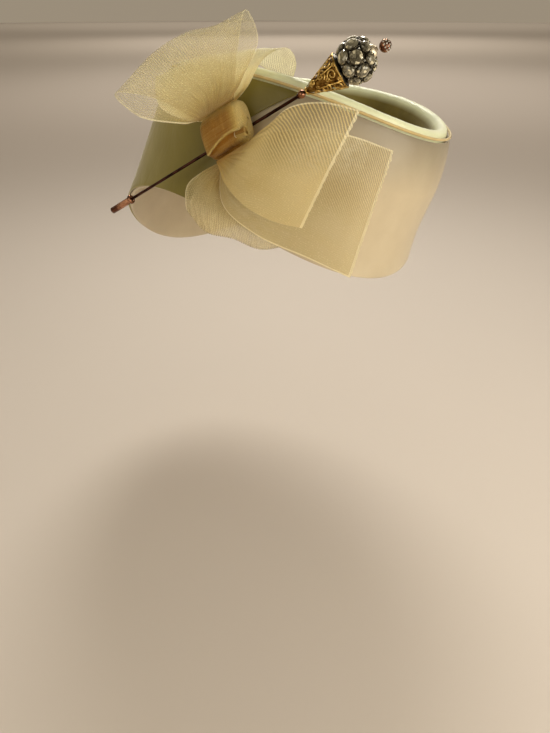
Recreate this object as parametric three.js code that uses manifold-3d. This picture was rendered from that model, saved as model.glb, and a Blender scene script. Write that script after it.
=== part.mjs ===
// Tilt hat: a satin hat with a recessed crown, a stiff net bow and a jewelled hatpin.
// Millimetres, +Z up. The wearer faces -Y, so the wearer's right is -X.
// The origin is on the underside of the crown, where the top of the head touches it.

import * as THREE from 'three';
import { mergeVertices } from 'three/addons/utils/BufferGeometryUtils.js';
import Module from 'manifold-3d';

const wasm = await Module();
wasm.setup();

// Driving sizes

const touchGap = 0.3;

// The hat's own frame leans forward and to the wearer's left. Its centre is inside the hem.
const lean = { forward: 6.4, toLeft: 9.8 };
const hatCentre = new THREE.Vector3(-10.4, -8.3, -68.5);

const hem = { length: 207, width: 185 };
const rim = { length: 184, width: 173, forward: 10.6, left: 6.2 };

// Height of the rim and of the hem above the hat's centre, every eighth of a turn from
// the front, by way of the wearer's left.
const heights = [
  { place: 'front', rim: 82.4, hem: 1.1 },
  { place: 'front left', rim: 87.2, hem: 15.7 },
  { place: 'left', rim: 93.5, hem: 18.4 },
  { place: 'back left', rim: 89.7, hem: -21.9 },
  { place: 'back', rim: 84.4, hem: -44.8 },
  { place: 'back right', rim: 85.8, hem: -6.6 },
  { place: 'right', rim: 93.5, hem: 25.3 },
  { place: 'front right', rim: 91.1, hem: 12.9 },
];

// The wall swells and sways a little between hem and rim.
const wallShape = { frontSwell: 2.0, frontSway: 1.6, backSink: 1.0 };
const band = { thickness: 1.6, around: 56, rows: 7, belowRim: 1.7 };
const panel = { gap: 0.6, thickness: 1.0, around: 34, rows: 7, leftSeam: 140 };
const rightSeam = { atHem: 293, atMiddle: 286, atRim: 304 };

const piping = { radius: 1.2, inward: 0.5, sides: 6 };

// Section of the crown, from the piping over the soft roll and down to the floor.
const crownThickness = 1.6;
const floorHeight = 69.5;
const crownSection = [
  { inward: 2.5, up: -3.5 },
  { inward: 2.5, up: 0.4 },
  { inward: 3.3, up: 2.8 },
  { inward: 5.4, up: 4.0 },
  { inward: 7.8, up: 3.4 },
  { inward: 9.6, up: 0.8 },
  { inward: 10.8, up: -6.0 },
  { inward: 12.0, up: -15.0 },
];
const floorRings = [0.84, 0.55, 0.25];

// The pin's line: a point on it inside the knot, and its run toward the jewelled head.
const pinPoint = new THREE.Vector3(-86.6, -51.9, 3.2);
const pinRun = new THREE.Vector3(0.424, -0.753, 0.503).normalize();
const shaft = { radius: 0.8, point: -81, taperEnd: -74, ball: 45.4, ballRadius: 2.0, neck: 1.1 };
const head = { coneStart: 47.8, coneEnd: 66.8, coneRadius: 8.3, lip: 0.4, centre: 74.8, radius: 7.8 };

// The dome narrows to a waist inside the cone's lip and ends in a cap with a short neck.
const headWaist = [
  { radius: 5.5, height: 67.8 },
  { radius: 4.9, height: 68.6 },
];
const domeHeights = [69.5, 71, 73, 74.8, 76.6, 78.4, 80, 81.6];
const headCap = [
  { radius: 3.0, height: 82.4 },
  { radius: 2.9, height: 83.8 },
  { radius: 2.1, height: 84.6 },
  { radius: 1.0, height: 85.0 },
  { radius: 1.0, height: 85.6 },
];
const stoneSeat = head.radius + touchGap;
const stoneRings = [
  { count: 8, latitude: -24, turn: 32.5, width: 6.2 },
  { count: 8, latitude: 12, turn: 10, width: 6.2 },
  { count: 6, latitude: 50, turn: 5, width: 5.2 },
];
const stoneCut = { foot: 0.7, footHeight: 0.2, girdle: 1.1, table: 0.62, depth: 2.2 };

// The end bead hangs a little to one side of the pin's line.
const finial = { centre: 89.2, radius: 3.1, aside: new THREE.Vector3(1.0, 0, 0.7) };
const keeper = { from: -83.5, to: -67.6, radius: 1.9, collar: 2.5, bore: 1.2, floor: -82.0 };

// The knot wraps the middle of the bow. Its width runs along the pin.
const knot = {
  along: 4.4,
  outward: 5.7,
  down: -2.8,
  halfWidth: 13,
  halfDepth: 8.2,
  halfLength: 10.2,
  endShare: 0.88,
  slant: 2.0,
  squareness: 0.75,
};
const knotBore = { radius: shaft.radius + 0.5, reach: 40 };
const outFromHat = new THREE.Vector3(-0.901, -0.409, 0.147).normalize();
const footReach = 11;
const footGap = 0.9;
const netThickness = 1.0;

// Net loops: five sections from the wearer's back to the front. Each runs from the knot
// through these points. The feet are worked out from the knot.
const upperLoop = {
  outward: 5.0,
  returnOutward: 1.0,
  sections: [
    { rise: [-114, -47, 14], shoulder: [-131, -40, 18], fold: [-135, -28, 27], back: [-119, -34, 25] },
    { rise: [-109, -56, 23], shoulder: [-122, -52, 31], fold: [-124, -40, 42], back: [-111, -41, 31] },
    { rise: [-104, -64, 32], shoulder: [-110, -62, 43], fold: [-111, -52, 52], back: [-100, -49, 40] },
    { rise: [-97, -70, 33], shoulder: [-97, -72, 46], fold: [-100, -63, 56], back: [-91, -56, 42] },
    { rise: [-91, -70, 35], shoulder: [-88, -77, 50], fold: [-89, -71, 61], back: [-86, -62, 48] },
  ],
};
const backLoop = {
  outward: -2.5,
  sections: [
    {
      rise: [-101.6, -37, 13.4],
      shoulder: [-112, -31, 20],
      fold: [-109, -26, 32],
      over: [-101, -23, 33],
      end: [-93, -20, 32],
    },
    {
      rise: [-95, -46, 23],
      shoulder: [-100, -42, 31],
      fold: [-96, -37, 39],
      over: [-87, -34, 41],
      end: [-82, -34, 39],
    },
    {
      rise: [-87, -52, 26],
      shoulder: [-88, -52, 35],
      fold: [-83, -48, 42],
      over: [-71, -43, 42],
      end: [-62, -40, 40],
    },
    {
      rise: [-81, -57, 27],
      shoulder: [-79, -61, 37],
      fold: [-70, -60, 45],
      over: [-58, -56, 42],
      end: [-53, -50, 34],
    },
    {
      rise: [-78, -59, 28],
      shoulder: [-73, -65, 40],
      fold: [-61, -70, 45],
      over: [-51, -68, 38],
      end: [-50, -64, 28],
    },
  ],
};
const lowerLoop = {
  outward: -4.0,
  returnOutward: -6.6,
  sections: [
    { rise: [-98, -42, -13], shoulder: [-104, -37, -20], fold: [-106, -38, -33], back: [-99, -35, -27] },
    { rise: [-98, -51, -18], shoulder: [-104, -51, -31], fold: [-104, -52, -42], back: [-98, -48, -32] },
    { rise: [-94, -58, -20], shoulder: [-97, -63, -35], fold: [-96, -64, -45], back: [-93, -59, -33] },
    { rise: [-91, -65, -19], shoulder: [-90, -74, -38], fold: [-90, -77, -49], back: [-87, -69, -35] },
    { rise: [-87, -70, -18], shoulder: [-84, -83, -37], fold: [-82, -85, -48], back: [-82, -77, -36] },
  ],
};

// Net tails: sections from the knot to the cut end, each from the upper to the lower edge.
const tailUnder = {
  outward: -0.5,
  belly: 2.0,
  sections: [
    { upper: [-82, -82, 10], lower: [-100, -61, -26] },
    { upper: [-71, -95, 12], lower: [-93, -78, -40] },
    { upper: [-55, -110, 8], lower: [-76, -98, -52] },
    { upper: [-36, -122, 0], lower: [-55, -114, -66] },
  ],
};
const tailFront = {
  outward: 4.0,
  belly: 2.0,
  sections: [
    { upper: [-87, -82, 14], lower: [-100, -63, -14] },
    { upper: [-80, -90, 22], lower: [-98, -75, -24] },
    { upper: [-69, -102, 24], lower: [-91, -88, -31] },
    { upper: [-55, -113, 20], lower: [-80, -99, -35] },
  ],
};

// Materials

function finish(color, roughness, metalness = 0) {
  return new THREE.MeshStandardMaterial({ color, roughness, metalness });
}

const peachSatin = finish(0xdcc3a0, 0.5);
const greenSatin = finish(0xa3a273, 0.45);
const mintSatin = finish(0xc6cba4, 0.45);
const tanPiping = finish(0xb59a66, 0.6);
const strawNet = finish(0xdccb94, 0.7);
const darkMetal = finish(0x5a3a24, 0.35, 1);
const copper = finish(0x9c5f3c, 0.3, 1);
const clearStone = finish(0xcfd2c8, 0.1);

// Helpers

const radians = THREE.MathUtils.degToRad;

// A smooth closed curve through the eight stations, as harmonics of the turn.
function around(column) {
  const values = heights.map((row) => row[column]);
  const count = values.length;
  const harmonics = [];
  for (let order = 0; order <= count / 2; order += 1) {
    let cosine = 0;
    let sine = 0;
    values.forEach((value, index) => {
      const turn = (2 * Math.PI * index * order) / count;
      cosine += value * Math.cos(turn);
      sine += value * Math.sin(turn);
    });
    const share = order === 0 || order === count / 2 ? 1 / count : 2 / count;
    harmonics.push({ order, cosine: cosine * share, sine: sine * share });
  }
  return (angle) => harmonics.reduce(
    (sum, h) => sum + h.cosine * Math.cos(h.order * angle) + h.sine * Math.sin(h.order * angle),
    0,
  );
}

const rimHeight = around('rim');
const hemHeight = around('hem');

// A place in the hat's frame from its reach forward, its reach left and its height.
function place(forward, left, height) {
  return new THREE.Vector3(left, -forward, height);
}

function rimPoint(angle, inward = 0, up = 0) {
  const forward = rim.forward + (rim.length / 2 - inward) * Math.cos(angle);
  const left = rim.left + (rim.width / 2 - inward) * Math.sin(angle);
  return place(forward, left, rimHeight(angle) + up);
}

function hemPoint(angle) {
  return place((hem.length / 2) * Math.cos(angle), (hem.width / 2) * Math.sin(angle), hemHeight(angle));
}

function wallPoint(angle, share) {
  const front = (1 + Math.cos(angle)) / 2;
  const swell = Math.sin(Math.PI * share);
  const sway = Math.sin(2 * Math.PI * share);
  const outward = front * (wallShape.frontSwell * swell - wallShape.frontSway * sway)
    - (1 - front) * wallShape.backSink * swell;
  const point = hemPoint(angle).lerp(rimPoint(angle), share);
  return point.add(place(outward * Math.cos(angle), outward * Math.sin(angle), 0));
}

function wallNormal(angle, share) {
  const step = 0.01;
  const along = wallPoint(angle + step, share).sub(wallPoint(angle - step, share));
  const up = wallPoint(angle, share + step).sub(wallPoint(angle, share - step));
  return along.cross(up).normalize();
}

// Faces of a grid of vertices whose first index runs over rows of equal length.
function gridFaces(rows, columns, start, closed, flip) {
  const faces = [];
  const last = closed ? columns : columns - 1;
  for (let row = 0; row < rows - 1; row += 1) {
    for (let column = 0; column < last; column += 1) {
      const next = (column + 1) % columns;
      const a = start + row * columns + column;
      const b = start + row * columns + next;
      const c = a + columns;
      const d = b + columns;
      if (flip) {
        faces.push(a, c, b, b, c, d);
      } else {
        faces.push(a, b, c, b, d, c);
      }
    }
  }
  return faces;
}

function geometryOf(points, faces) {
  const geometry = new THREE.BufferGeometry();
  const flat = points.flatMap((point) => [point.x, point.y, point.z]);
  geometry.setAttribute('position', new THREE.Float32BufferAttribute(flat, 3));
  geometry.setIndex(faces);
  return facingOut(geometry);
}

// Turns every face over when the closed mesh encloses a negative volume.
function facingOut(geometry) {
  const position = geometry.getAttribute('position');
  const index = geometry.getIndex().array;
  const corner = (at) => new THREE.Vector3().fromBufferAttribute(position, index[at]);
  let volume = 0;
  for (let face = 0; face < index.length; face += 3) {
    volume += corner(face).dot(corner(face + 1).cross(corner(face + 2)));
  }
  if (volume < 0) {
    for (let face = 0; face < index.length; face += 3) {
      [index[face + 1], index[face + 2]] = [index[face + 2], index[face + 1]];
    }
  }
  geometry.computeVertexNormals();
  return geometry;
}

// A wall between two matching open grids, closed along its four edges.
function slab(front, back) {
  const rows = front.length;
  const columns = front[0].length;
  const half = rows * columns;
  const points = [...front.flat(), ...back.flat()];
  const faces = [
    ...gridFaces(rows, columns, 0, false, false),
    ...gridFaces(rows, columns, half, false, true),
  ];
  const border = [];
  for (let column = 0; column < columns - 1; column += 1) border.push(column);
  for (let row = 0; row < rows - 1; row += 1) border.push(row * columns + columns - 1);
  for (let column = columns - 1; column > 0; column -= 1) border.push((rows - 1) * columns + column);
  for (let row = rows - 1; row > 0; row -= 1) border.push(row * columns);
  border.forEach((from, position) => {
    const to = border[(position + 1) % border.length];
    faces.push(to, from, from + half, to, from + half, to + half);
  });
  return geometryOf(points, faces);
}

// A ring: a closed section of points carried round a closed turn.
function ring(sections) {
  const rows = sections.length;
  const columns = sections[0].length;
  const points = [...sections.flat()];
  const faces = gridFaces(rows, columns, 0, true, false);
  const lastRow = (rows - 1) * columns;
  for (let column = 0; column < columns; column += 1) {
    const next = (column + 1) % columns;
    faces.push(lastRow + column, lastRow + next, column, lastRow + next, next, column);
  }
  return geometryOf(points, faces);
}

function turnedSolid(profile, sides) {
  const outline = profile.map(([radius, height]) => new THREE.Vector2(radius, height));
  const geometry = new THREE.LatheGeometry(outline, sides);
  geometry.deleteAttribute('normal');
  geometry.deleteAttribute('uv');
  const merged = mergeVertices(geometry, 1e-4);
  const index = Array.from(merged.getIndex().array);
  const kept = [];
  for (let face = 0; face < index.length; face += 3) {
    const [a, b, c] = index.slice(face, face + 3);
    if (a !== b && b !== c && c !== a) kept.push(a, b, c);
  }
  merged.setIndex(kept);
  return facingOut(merged);
}

function solidOf(geometry) {
  const bare = geometry.clone();
  bare.deleteAttribute('normal');
  bare.deleteAttribute('uv');
  const merged = mergeVertices(bare, 1e-4);
  return new wasm.Manifold(new wasm.Mesh({
    numProp: 3,
    vertProperties: new Float32Array(merged.getAttribute('position').array),
    triVerts: new Uint32Array(merged.getIndex().array),
  }));
}

function geometryFrom(solid) {
  const mesh = solid.getMesh();
  const geometry = new THREE.BufferGeometry();
  geometry.setAttribute('position', new THREE.BufferAttribute(new Float32Array(mesh.vertProperties), 3));
  geometry.setIndex(Array.from(mesh.triVerts));
  geometry.computeVertexNormals();
  return geometry;
}

function named(name, geometry, material) {
  const mesh = new THREE.Mesh(geometry, material);
  mesh.name = name;
  return mesh;
}

// The hat's body

function sideBand() {
  const sections = [];
  for (let step = 0; step < band.around; step += 1) {
    const angle = (2 * Math.PI * step) / band.around;
    const top = 1 - band.belowRim / (rimHeight(angle) - hemHeight(angle));
    const outer = [];
    const inner = [];
    for (let row = 0; row <= band.rows; row += 1) {
      const share = (top * row) / band.rows;
      const point = wallPoint(angle, share);
      outer.push(point);
      inner.unshift(point.clone().addScaledVector(wallNormal(angle, share), -band.thickness));
    }
    sections.push([...outer, ...inner]);
  }
  return named('side_band', ring(sections), peachSatin);
}

// The green panel starts at the seam by the bow and runs round the back.
function seamAngle(share) {
  const bend = 2 * (rightSeam.atHem + rightSeam.atRim - 2 * rightSeam.atMiddle);
  const rise = rightSeam.atRim - rightSeam.atHem - bend;
  return rightSeam.atHem + rise * share + bend * share * share;
}

function sidePanel() {
  const inner = [];
  const outer = [];
  for (let row = 0; row <= panel.rows; row += 1) {
    const innerRow = [];
    const outerRow = [];
    for (let step = 0; step <= panel.around; step += 1) {
      const part = step / panel.around;
      const share = row / panel.rows;
      const angle = radians(THREE.MathUtils.lerp(panel.leftSeam, seamAngle(share), part));
      const top = 1 - band.belowRim / (rimHeight(angle) - hemHeight(angle));
      const normal = wallNormal(angle, share * top);
      const point = wallPoint(angle, share * top);
      innerRow.push(point.clone().addScaledVector(normal, panel.gap));
      outerRow.push(point.clone().addScaledVector(normal, panel.gap + panel.thickness));
    }
    inner.push(innerRow);
    outer.push(outerRow);
  }
  return named('side_panel', slab(outer, inner), greenSatin);
}

function rimPiping() {
  const sections = [];
  for (let step = 0; step < band.around; step += 1) {
    const angle = (2 * Math.PI * step) / band.around;
    const section = [];
    for (let side = 0; side < piping.sides; side += 1) {
      const turn = (2 * Math.PI * side) / piping.sides;
      const inward = piping.inward + piping.radius * Math.cos(turn);
      section.push(rimPoint(angle, inward, piping.radius * Math.sin(turn)));
    }
    sections.push(section);
  }
  return named('rim_piping', ring(sections), tanPiping);
}

// One closed shell: the roll, the inner wall and the floor, then back along the underside.
function crown() {
  const upper = crownSection.map(({ inward, up }) => (angle) => rimPoint(angle, inward, up));
  const lastInward = crownSection[crownSection.length - 1].inward;
  const centre = place(rim.forward, rim.left, floorHeight);
  floorRings.forEach((size) => {
    upper.push((angle) => {
      const edge = rimPoint(angle, lastInward);
      return new THREE.Vector3(edge.x, edge.y, floorHeight).lerp(centre, 1 - size);
    });
  });
  const step = 0.02;
  const offset = (rowIndex, angle) => {
    const before = upper[Math.max(rowIndex - 1, 0)](angle);
    const after = upper[Math.min(rowIndex + 1, upper.length - 1)](angle);
    const along = upper[rowIndex](angle + step).sub(upper[rowIndex](angle - step));
    const normal = along.cross(after.sub(before)).normalize();
    return upper[rowIndex](angle).addScaledVector(normal, -crownThickness);
  };
  const points = [];
  const rows = upper.length;
  const turns = Array.from({ length: band.around }, (_, index) => (2 * Math.PI * index) / band.around);
  upper.forEach((at) => turns.forEach((angle) => points.push(at(angle))));
  upper.forEach((_, rowIndex) => turns.forEach((angle) => points.push(offset(rowIndex, angle))));
  const count = turns.length;
  const faces = [
    ...gridFaces(rows, count, 0, true, false),
    ...gridFaces(rows, count, rows * count, true, true),
  ];
  const top = points.push(centre.clone()) - 1;
  const under = points.push(centre.clone().add(new THREE.Vector3(0, 0, -crownThickness))) - 1;
  for (let column = 0; column < count; column += 1) {
    const next = (column + 1) % count;
    const upperLast = (rows - 1) * count;
    const lowerLast = (2 * rows - 1) * count;
    faces.push(upperLast + column, upperLast + next, top);
    faces.push(lowerLast + next, lowerLast + column, under);
    faces.push(next, column, rows * count + column);
    faces.push(next, rows * count + column, rows * count + next);
  }
  return named('crown', geometryOf(points, faces), mintSatin);
}

// The bow

const downKnot = new THREE.Vector3().crossVectors(pinRun, outFromHat).normalize();
const knotCentre = pinPoint.clone()
  .addScaledVector(pinRun, knot.along)
  .addScaledVector(outFromHat, knot.outward)
  .addScaledVector(downKnot, knot.down);

// A place by the knot: across it toward the pin's head, out from the hat, and down.
function byKnot(across, outward, down) {
  return knotCentre.clone()
    .addScaledVector(pinRun, across)
    .addScaledVector(outFromHat, outward)
    .addScaledVector(downKnot, down);
}

function smoothRow(points, count) {
  const curve = new THREE.CatmullRomCurve3(points, false, 'centripetal');
  return Array.from({ length: count + 1 }, (_, index) => curve.getPoint(index / count));
}

// Evens out a set of sections and gives the sheet its thickness along its normals.
function netSheet(sections, along, across) {
  const runs = sections.map((points) => smoothRow(points, along));
  const grid = Array.from(
    { length: along + 1 },
    (_, index) => smoothRow(runs.map((run) => run[index]), across),
  );
  const clampRow = (row) => Math.min(Math.max(row, 0), along);
  const clampColumn = (column) => Math.min(Math.max(column, 0), across);
  const side = (sign) => grid.map((line, row) => line.map((point, column) => {
    const down = grid[clampRow(row + 1)][column].clone().sub(grid[clampRow(row - 1)][column]);
    const over = grid[row][clampColumn(column + 1)].clone().sub(grid[row][clampColumn(column - 1)]);
    const normal = down.cross(over).normalize();
    return point.clone().addScaledVector(normal, (sign * netThickness) / 2);
  }));
  return slab(side(1), side(-1));
}

function loopSections(loop, side) {
  const last = loop.sections.length - 1;
  return loop.sections.map((section, index) => {
    const across = footReach * ((2 * index) / last - 1);
    const down = side * (knot.halfLength + footGap);
    const points = Object.values(section).map((place3) => new THREE.Vector3(...place3));
    points.unshift(byKnot(across, loop.outward, down));
    if (loop.returnOutward !== undefined) {
      points.push(byKnot(across, loop.returnOutward, down));
    }
    return points;
  });
}

function tailSections(tail) {
  const down = knot.halfLength + footGap;
  const first = {
    upper: byKnot(footReach, tail.outward, down),
    lower: byKnot(-footReach, tail.outward, down),
  };
  const rest = tail.sections.map(({ upper, lower }) => ({
    upper: new THREE.Vector3(...upper),
    lower: new THREE.Vector3(...lower),
  }));
  const shares = [0, 0.25, 0.5, 0.75, 1];
  return shares.map((share) => [first, ...rest].map(({ upper, lower }, index) => {
    const point = upper.clone().lerp(lower, share);
    const belly = index === 0 ? 0 : tail.belly * Math.sin(Math.PI * share);
    return point.addScaledVector(outFromHat, belly);
  }));
}

function bowKnot() {
  const sides = 16;
  const lengths = [-1, -0.5, 0, 0.5, 1];
  const points = [];
  lengths.forEach((length) => {
    const size = THREE.MathUtils.lerp(knot.endShare, 1, Math.cos((Math.PI * length) / 2));
    for (let side = 0; side < sides; side += 1) {
      const turn = (2 * Math.PI * side) / sides;
      const squarer = (value) => Math.sign(value) * Math.abs(value) ** knot.squareness;
      const across = knot.halfWidth * size * squarer(Math.cos(turn)) - knot.slant * length;
      const outward = knot.halfDepth * size * squarer(Math.sin(turn));
      points.push(byKnot(across, outward, length * knot.halfLength));
    }
  });
  const faces = gridFaces(lengths.length, sides, 0, true, false);
  const first = points.push(byKnot(knot.slant, 0, -knot.halfLength)) - 1;
  const last = points.push(byKnot(-knot.slant, 0, knot.halfLength)) - 1;
  const lastRow = (lengths.length - 1) * sides;
  for (let side = 0; side < sides; side += 1) {
    const next = (side + 1) % sides;
    faces.push(next, side, first);
    faces.push(lastRow + side, lastRow + next, last);
  }
  const { radius, reach } = knotBore;
  const bore = turnedSolid([[0, -reach], [radius, -reach], [radius, reach], [0, reach]], 12);
  bore.applyQuaternion(new THREE.Quaternion().setFromUnitVectors(new THREE.Vector3(0, 1, 0), pinRun));
  bore.translate(pinPoint.x, pinPoint.y, pinPoint.z);
  const cut = solidOf(geometryOf(points, faces)).subtract(solidOf(bore));
  return named('bow_knot', geometryFrom(cut), strawNet);
}

function bow() {
  const group = new THREE.Group();
  group.add(
    named('bow_upper_loop', netSheet(loopSections(upperLoop, -1), 20, 10), strawNet),
    named('bow_back_loop', netSheet(loopSections(backLoop, -1), 18, 10), strawNet),
    named('bow_lower_loop', netSheet(loopSections(lowerLoop, 1), 18, 8), strawNet),
    named('bow_tail_under', netSheet(tailSections(tailUnder), 10, 8), strawNet),
    named('bow_tail_front', netSheet(tailSections(tailFront), 10, 8), strawNet),
    bowKnot(),
  );
  return group;
}

// The hatpin, modelled upright along Y and then laid on its line

function hatpin() {
  const { radius, point, taperEnd, ball, ballRadius, neck } = shaft;
  const ballSide = ballRadius * Math.SQRT1_2;
  const onDome = (height) => [Math.sqrt(head.radius ** 2 - (height - head.centre) ** 2), height];
  const profile = [
    [0, point],
    [radius / 2, point + 2],
    [radius, taperEnd],
    [radius, ball - ballRadius],
    [ballSide, ball - ballSide],
    [ballRadius, ball],
    [ballSide, ball + ballSide],
    [neck, head.coneStart],
    [head.coneRadius, head.coneEnd],
    [head.coneRadius - head.lip, head.coneEnd + head.lip],
    ...headWaist.map((row) => [row.radius, row.height]),
    ...domeHeights.map(onDome),
    ...headCap.map((row) => [row.radius, row.height]),
    [0, headCap[headCap.length - 1].height],
  ];
  return named('hatpin', turnedSolid(profile, 16), darkMetal);
}

// A round stone: a low pavilion in its seat, a wide girdle and a crown with a flat table.
function stone(name, { width, latitude }, longitude) {
  const r = width / 2;
  const profile = [
    [0, 0],
    [r * stoneCut.foot, stoneCut.footHeight],
    [r, stoneCut.girdle],
    [r * stoneCut.table, stoneCut.depth],
    [0, stoneCut.depth],
  ];
  const mesh = named(name, turnedSolid(profile, 10), clearStone);
  const up = radians(latitude);
  const turn = radians(longitude);
  const outward = new THREE.Vector3(
    Math.cos(up) * Math.cos(turn),
    Math.sin(up),
    Math.cos(up) * Math.sin(turn),
  );
  mesh.quaternion.setFromUnitVectors(new THREE.Vector3(0, 1, 0), outward);
  mesh.position.set(0, head.centre, 0).addScaledVector(outward, stoneSeat);
  return mesh;
}

function stones() {
  const group = new THREE.Group();
  let number = 0;
  stoneRings.forEach((row) => {
    for (let index = 0; index < row.count; index += 1) {
      number += 1;
      const name = `stone_${String(number).padStart(2, '0')}`;
      group.add(stone(name, row, row.turn + (360 * index) / row.count));
    }
  });
  return group;
}

function pinFinial() {
  const steps = 8;
  const profile = Array.from({ length: steps + 1 }, (_, index) => {
    const turn = (Math.PI * index) / steps;
    return [finial.radius * Math.sin(turn), finial.centre - finial.radius * Math.cos(turn)];
  });
  const mesh = named('pin_finial', turnedSolid(profile, 12), copper);
  mesh.position.copy(finial.aside);
  return mesh;
}

function pinKeeper() {
  const { from, to, radius, collar, bore, floor } = keeper;
  const profile = [
    [0, from],
    [radius - 0.3, from],
    [radius, from + 0.4],
    [radius, to - 1.8],
    [collar, to - 1.4],
    [collar, to - 0.3],
    [collar - 0.4, to],
    [bore, to],
    [bore, floor],
    [0, floor],
  ];
  return named('pin_keeper', turnedSolid(profile, 16), copper);
}

// Assembly

const body = new THREE.Group();
body.rotation.set(radians(lean.forward), radians(lean.toLeft), 0, 'YXZ');
body.position.copy(hatCentre);
body.add(sideBand(), sidePanel(), rimPiping(), crown());

const pin = new THREE.Group();
pin.quaternion.setFromUnitVectors(new THREE.Vector3(0, 1, 0), pinRun);
pin.position.copy(pinPoint);
pin.add(hatpin(), stones(), pinFinial(), pinKeeper());

const tiltHat = new THREE.Group();
tiltHat.add(body, bow(), pin);

export default tiltHat;
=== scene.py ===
from math import atan2, copysign, cos, exp, hypot, pi, radians, sin, sqrt, tau

import bmesh
import bpy
from mathutils import Matrix, Vector, noise


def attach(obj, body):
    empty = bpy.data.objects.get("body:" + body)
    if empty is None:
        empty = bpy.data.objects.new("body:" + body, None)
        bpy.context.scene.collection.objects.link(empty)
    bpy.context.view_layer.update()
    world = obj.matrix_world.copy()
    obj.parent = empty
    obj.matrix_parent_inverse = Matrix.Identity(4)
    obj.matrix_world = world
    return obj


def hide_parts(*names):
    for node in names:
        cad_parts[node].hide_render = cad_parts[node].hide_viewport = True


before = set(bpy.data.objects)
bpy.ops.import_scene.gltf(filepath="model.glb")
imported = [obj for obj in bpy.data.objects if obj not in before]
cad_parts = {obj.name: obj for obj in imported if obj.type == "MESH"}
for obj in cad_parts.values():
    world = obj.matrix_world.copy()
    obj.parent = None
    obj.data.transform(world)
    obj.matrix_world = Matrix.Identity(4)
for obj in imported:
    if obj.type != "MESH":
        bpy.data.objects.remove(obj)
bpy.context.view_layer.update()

# everything below is worked out in millimetres and made metres at the end
mm = 0.001

view = {
    "location": (-0.30203, -0.28712, 0.05919),
    "pitch": 58.54,
    "heading": -47,
    "lens": 28.24,
    "sensor": 36,
}


class Tree:
    # a new material's or world's nodes, with short ways to add to them
    def __init__(self, name, blocks=bpy.data.materials):
        self.block = blocks.new(name)
        self.block.use_nodes = True
        self.nodes = self.block.node_tree.nodes
        self.links = self.block.node_tree.links

    def fill(self, node, sockets):
        # an input is linked where it is given another node's output, and set otherwise
        for key, value in sockets.items():
            if isinstance(value, bpy.types.NodeSocket):
                self.links.new(value, node.inputs[key])
            else:
                node.inputs[key].default_value = value
        return node

    def surface(self, sockets):
        return self.fill(self.nodes["Principled BSDF"], sockets).outputs[0]

    def add(self, kind, sockets=None, output=0, **settings):
        node = self.nodes.new("ShaderNode" + kind)
        for key, value in settings.items():
            setattr(node, key, value)
        return self.fill(node, sockets or {}).outputs[output]

    def math(self, operation, *values):
        return self.add("Math", dict(enumerate(values)), operation=operation)

    def times(self, *values):
        # the first two multiplied, and the third one added where there is one
        return self.math("MULTIPLY_ADD" if len(values) > 2 else "MULTIPLY", *values)

    def noise(self, place, scale, detail, **more):
        return self.add("TexNoise", {"Vector": place, "Scale": scale, "Detail": detail, **more})

    def stretched(self, place, scale):
        return self.add("Mapping", {"Vector": place, "Scale": scale})

    def axis(self, source, name):
        return self.add("SeparateXYZ", {0: source}, name)

    def bump(self, height, strength, distance, **more):
        return self.add("Bump", {"Height": height, "Strength": strength, "Distance": distance, **more})

    def mixed(self, share, first, second):
        return self.add("Mix", {"Factor": share, "A": first, "B": second}, "Result", data_type="RGBA")

    def ramp(self, source, stops):
        colour = self.add("ValToRGB", {0: source})
        elements = colour.node.color_ramp.elements
        for index, (place, shade) in enumerate(stops):
            stop = elements[index] if index < 2 else elements.new(place)
            stop.position = place
            stop.color = (*shade, 1)
        return colour


def addObject(name, data):
    added = bpy.data.objects.new(name, data)
    bpy.context.scene.collection.objects.link(added)
    return added


def addMesh(name, bm, material):
    mesh = bpy.data.meshes.new(name)
    bm.to_mesh(mesh)
    bm.free()
    mesh.materials.append(material)
    return addObject(name, mesh)


def addCamera():
    camera = addObject("camera", bpy.data.cameras.new("camera"))
    camera.location = view["location"]
    camera.rotation_euler = (radians(view["pitch"]), 0, radians(view["heading"]))
    camera.data.lens = view["lens"]
    camera.data.sensor_width = view["sensor"]
    camera.data.clip_start = 0.01
    bpy.context.scene.camera = camera


# studio

studio = {
    "floorLevel": -0.262,
    "floorSize": 30,
    "floorColour": (0.72, 0.645, 0.575),
    "horizonColour": (0.325, 0.268, 0.195),
    "roomColour": (1.0, 0.86, 0.66),
    "roomStrength": 0.42,
    "overheadShare": 0.32,
    # each lamp: its name, power, width, place, aim and colour
    "lamps": (
        ("key", 2.6, 0.44, (0.17, -0.80, 0.07), (0, -0.04, -0.03), (1, 0.94, 0.82)),
        ("low", 2.1, 0.44, (-0.28, -0.76, 0.0), (0, -0.05, 0), (1, 0.92, 0.78)),
        ("side", 1.1, 0.5, (-0.72, -0.10, 0.20), (-0.08, -0.05, 0), (1, 0.92, 0.76)),
        ("top", 4.6, 0.35, (0.42, 0.30, 0.62), (0, -0.02, 0), (1, 0.97, 0.90)),
        ("far", 19, 3.4, (2.3, 1.75, 1.0), (2.3, 1.75, -0.26), (1, 0.93, 0.84)),
        ("distant", 75, 6.0, (6.4, 5.4, 2.0), (6.4, 5.4, -0.26), (1, 0.92, 0.80)),
        ("farthest", 560, 26, (20, 17, 5), (20, 17, -0.26), (1, 0.92, 0.80)),
    ),
}


def addLamp(name, power, width, at, aim, colour):
    data = bpy.data.lights.new(name, "AREA")
    data.energy = power
    data.shape = "DISK"
    data.size = width
    data.color = colour
    holder = addObject(name, data)
    holder.location = at
    holder.rotation_euler = (Vector(aim) - Vector(at)).to_track_quat("-Z", "Y").to_euler()
    holder.visible_camera = False


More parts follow.
